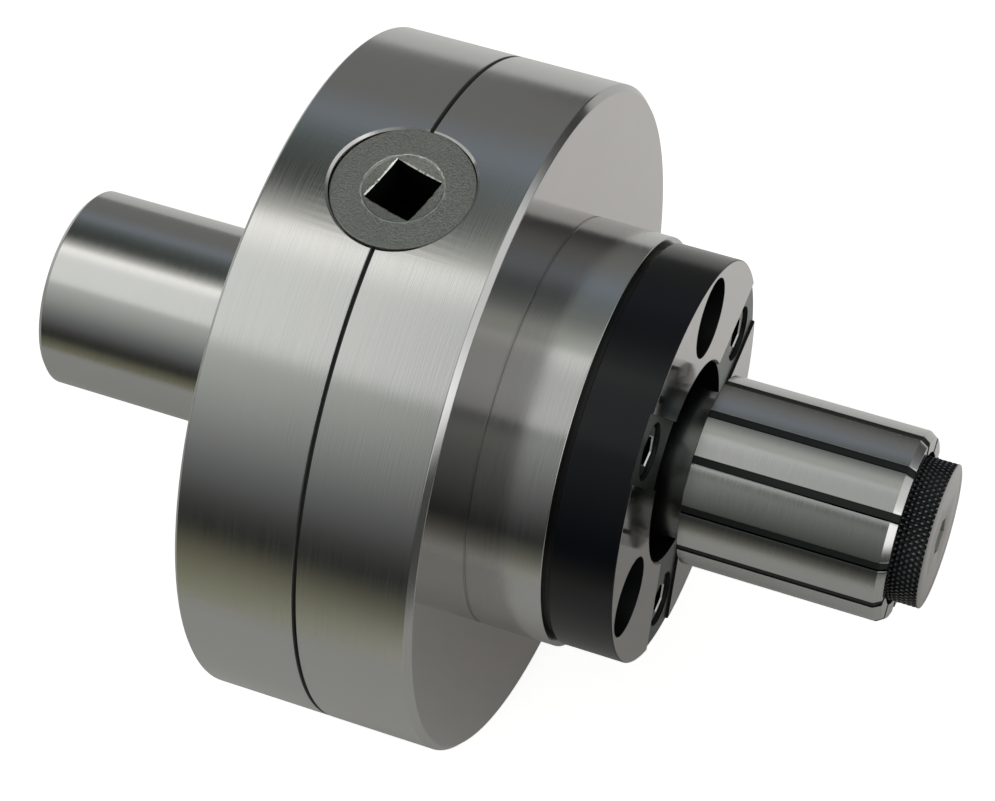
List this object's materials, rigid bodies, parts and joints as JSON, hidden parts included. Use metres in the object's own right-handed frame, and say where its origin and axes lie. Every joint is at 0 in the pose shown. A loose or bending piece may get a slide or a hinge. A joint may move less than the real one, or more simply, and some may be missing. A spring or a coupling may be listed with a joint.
{
  "type": "expanding mandrel",
  "caption": "Flanged expanding mandrel: a square key turns a bevel gear inside that draws a segmented sleeve along a tapered arbor, up to a stop ring.",
  "frame": {"origin": "centre of the shoulder face behind the flange, on the mandrel axis", "axes": "+X along the mandrel axis from the shank to the sleeve, +Z out through the key pinion"},
  "size_m": [0.1709, 0.127, 0.127],
  "materials": {
    "ground_steel": "ground, fine rings",
    "black_oxide": "black oxide",
    "sintered_steel": "dark, grainy",
    "hard_steel": "hardened",
    "bearing_bronze": "turned",
    "seal_rubber": "matt",
    "sleeve_rubber": "matt, bonded"
  },
  "bodies": {
    "body": {"shank": "ground_steel", "rear_body": "ground_steel", "front_body": "ground_steel", "hub": "ground_steel", "half_screw": "black_oxide", "half_dowel": "hard_steel", "split_oring": "seal_rubber", "arbor": "ground_steel", "arbor_screw": "black_oxide", "arbor_dowel": "hard_steel", "draw_key": "hard_steel", "arbor_oring": "seal_rubber", "stop_ring": "black_oxide", "ring_screw": "black_oxide", "rear_bush": "bearing_bronze", "front_bush": "bearing_bronze", "rear_race": "hard_steel", "rear_roller": "hard_steel", "front_race": "hard_steel", "front_roller": "hard_steel", "pinion_washer": "hard_steel", "shank_plug": "hard_steel"},
    "gear": {"ring_gear": "hard_steel", "draw_nut": "bearing_bronze", "gear_pin": "hard_steel"},
    "pinion": {"key_pinion": "sintered_steel", "pinion_oring": "seal_rubber"},
    "draw": {"draw_tube": "hard_steel"},
    "washer": {"bolt_washer": "hard_steel"},
    "bolt": {"draw_bolt": "black_oxide", "bolt_clip": "hard_steel"},
    "segment_01": {"sleeve_segment_01": "ground_steel", "sleeve_rubber_01": "sleeve_rubber"},
    "segment_02": {"sleeve_segment_02": "ground_steel", "sleeve_rubber_02": "sleeve_rubber"},
    "segment_03": {"sleeve_segment_03": "ground_steel", "sleeve_rubber_03": "sleeve_rubber"},
    "segment_04": {"sleeve_segment_04": "ground_steel", "sleeve_rubber_04": "sleeve_rubber"},
    "segment_05": {"sleeve_segment_05": "ground_steel", "sleeve_rubber_05": "sleeve_rubber"},
    "segment_06": {"sleeve_segment_06": "ground_steel", "sleeve_rubber_06": "sleeve_rubber"},
    "segment_07": {"sleeve_segment_07": "ground_steel", "sleeve_rubber_07": "sleeve_rubber"},
    "segment_08": {"sleeve_segment_08": "ground_steel", "sleeve_rubber_08": "sleeve_rubber"},
    "segment_09": {"sleeve_segment_09": "ground_steel", "sleeve_rubber_09": "sleeve_rubber"},
    "segment_10": {"sleeve_segment_10": "ground_steel", "sleeve_rubber_10": "sleeve_rubber"},
    "segment_11": {"sleeve_segment_11": "ground_steel", "sleeve_rubber_11": "sleeve_rubber"},
    "segment_12": {"sleeve_segment_12": "ground_steel", "sleeve_rubber_12": "sleeve_rubber"}
  },
  "joints": [
    {"name": "gear_turn", "type": "hinge", "parent": "body", "child": "gear", "pos_m": [0.0129, 0, 0], "axis": [1, 0, 0], "range_deg": [0, 420.5]},
    {"name": "pinion_turn", "type": "hinge", "parent": "body", "child": "pinion", "pos_m": [0.0229, 0, 0.05], "axis": [0, 0, 1], "range_deg": [0, 1621.5]},
    {"name": "draw_slide", "type": "slide", "parent": "body", "child": "draw", "axis": [1, 0, 0], "range_m": [0, 0.0035]},
    {"name": "bolt_advance", "type": "slide", "parent": "draw", "child": "washer", "axis": [1, 0, 0], "range_m": [0, 0.0005]},
    {"name": "bolt_turn", "type": "hinge", "parent": "washer", "child": "bolt", "pos_m": [0.116, 0, 0], "axis": [1, 0, 0], "range_deg": [0, 144.5]},
    {"name": "segment_01_slide", "type": "slide", "parent": "body", "child": "segment_01", "axis": [0.9903, -0.0421, -0.1327], "range_m": [0, 0.00354]},
    {"name": "segment_02_slide", "type": "slide", "parent": "body", "child": "segment_02", "axis": [0.9903, -0.1028, -0.0938], "range_m": [0, 0.00354]},
    {"name": "segment_03_slide", "type": "slide", "parent": "body", "child": "segment_03", "axis": [0.9903, -0.1359, -0.0299], "range_m": [0, 0.00354]},
    {"name": "segment_04_slide", "type": "slide", "parent": "body", "child": "segment_04", "axis": [0.9903, -0.1327, 0.0421], "range_m": [0, 0.00354]},
    {"name": "segment_05_slide", "type": "slide", "parent": "body", "child": "segment_05", "axis": [0.9903, -0.0938, 0.1028], "range_m": [0, 0.00354]},
    {"name": "segment_06_slide", "type": "slide", "parent": "body", "child": "segment_06", "axis": [0.9903, -0.0299, 0.1359], "range_m": [0, 0.00354]},
    {"name": "segment_07_slide", "type": "slide", "parent": "body", "child": "segment_07", "axis": [0.9903, 0.0421, 0.1327], "range_m": [0, 0.00354]},
    {"name": "segment_08_slide", "type": "slide", "parent": "body", "child": "segment_08", "axis": [0.9903, 0.1028, 0.0938], "range_m": [0, 0.00354]},
    {"name": "segment_09_slide", "type": "slide", "parent": "body", "child": "segment_09", "axis": [0.9903, 0.1359, 0.0299], "range_m": [0, 0.00354]},
    {"name": "segment_10_slide", "type": "slide", "parent": "body", "child": "segment_10", "axis": [0.9903, 0.1327, -0.0421], "range_m": [0, 0.00354]},
    {"name": "segment_11_slide", "type": "slide", "parent": "body", "child": "segment_11", "axis": [0.9903, 0.0938, -0.1028], "range_m": [0, 0.00354]},
    {"name": "segment_12_slide", "type": "slide", "parent": "body", "child": "segment_12", "axis": [0.9903, 0.0299, -0.1359], "range_m": [0, 0.00354]}
  ],
  "couplings": [
    {"joint": "gear_turn", "follows": "draw_slide", "rad_per_m": 2094.4},
    {"joint": "pinion_turn", "follows": "draw_slide", "rad_per_m": 8078.4},
    {"joint": "bolt_turn", "follows": "bolt_advance", "rad_per_m": 5026.5},
    {"joint": "segment_01_slide", "follows": "draw_slide", "ratio": 1.0098},
    {"joint": "segment_02_slide", "follows": "draw_slide", "ratio": 1.0098},
    {"joint": "segment_03_slide", "follows": "draw_slide", "ratio": 1.0098},
    {"joint": "segment_04_slide", "follows": "draw_slide", "ratio": 1.0098},
    {"joint": "segment_05_slide", "follows": "draw_slide", "ratio": 1.0098},
    {"joint": "segment_06_slide", "follows": "draw_slide", "ratio": 1.0098},
    {"joint": "segment_07_slide", "follows": "draw_slide", "ratio": 1.0098},
    {"joint": "segment_08_slide", "follows": "draw_slide", "ratio": 1.0098},
    {"joint": "segment_09_slide", "follows": "draw_slide", "ratio": 1.0098},
    {"joint": "segment_10_slide", "follows": "draw_slide", "ratio": 1.0098},
    {"joint": "segment_11_slide", "follows": "draw_slide", "ratio": 1.0098},
    {"joint": "segment_12_slide", "follows": "draw_slide", "ratio": 1.0098}
  ]
}
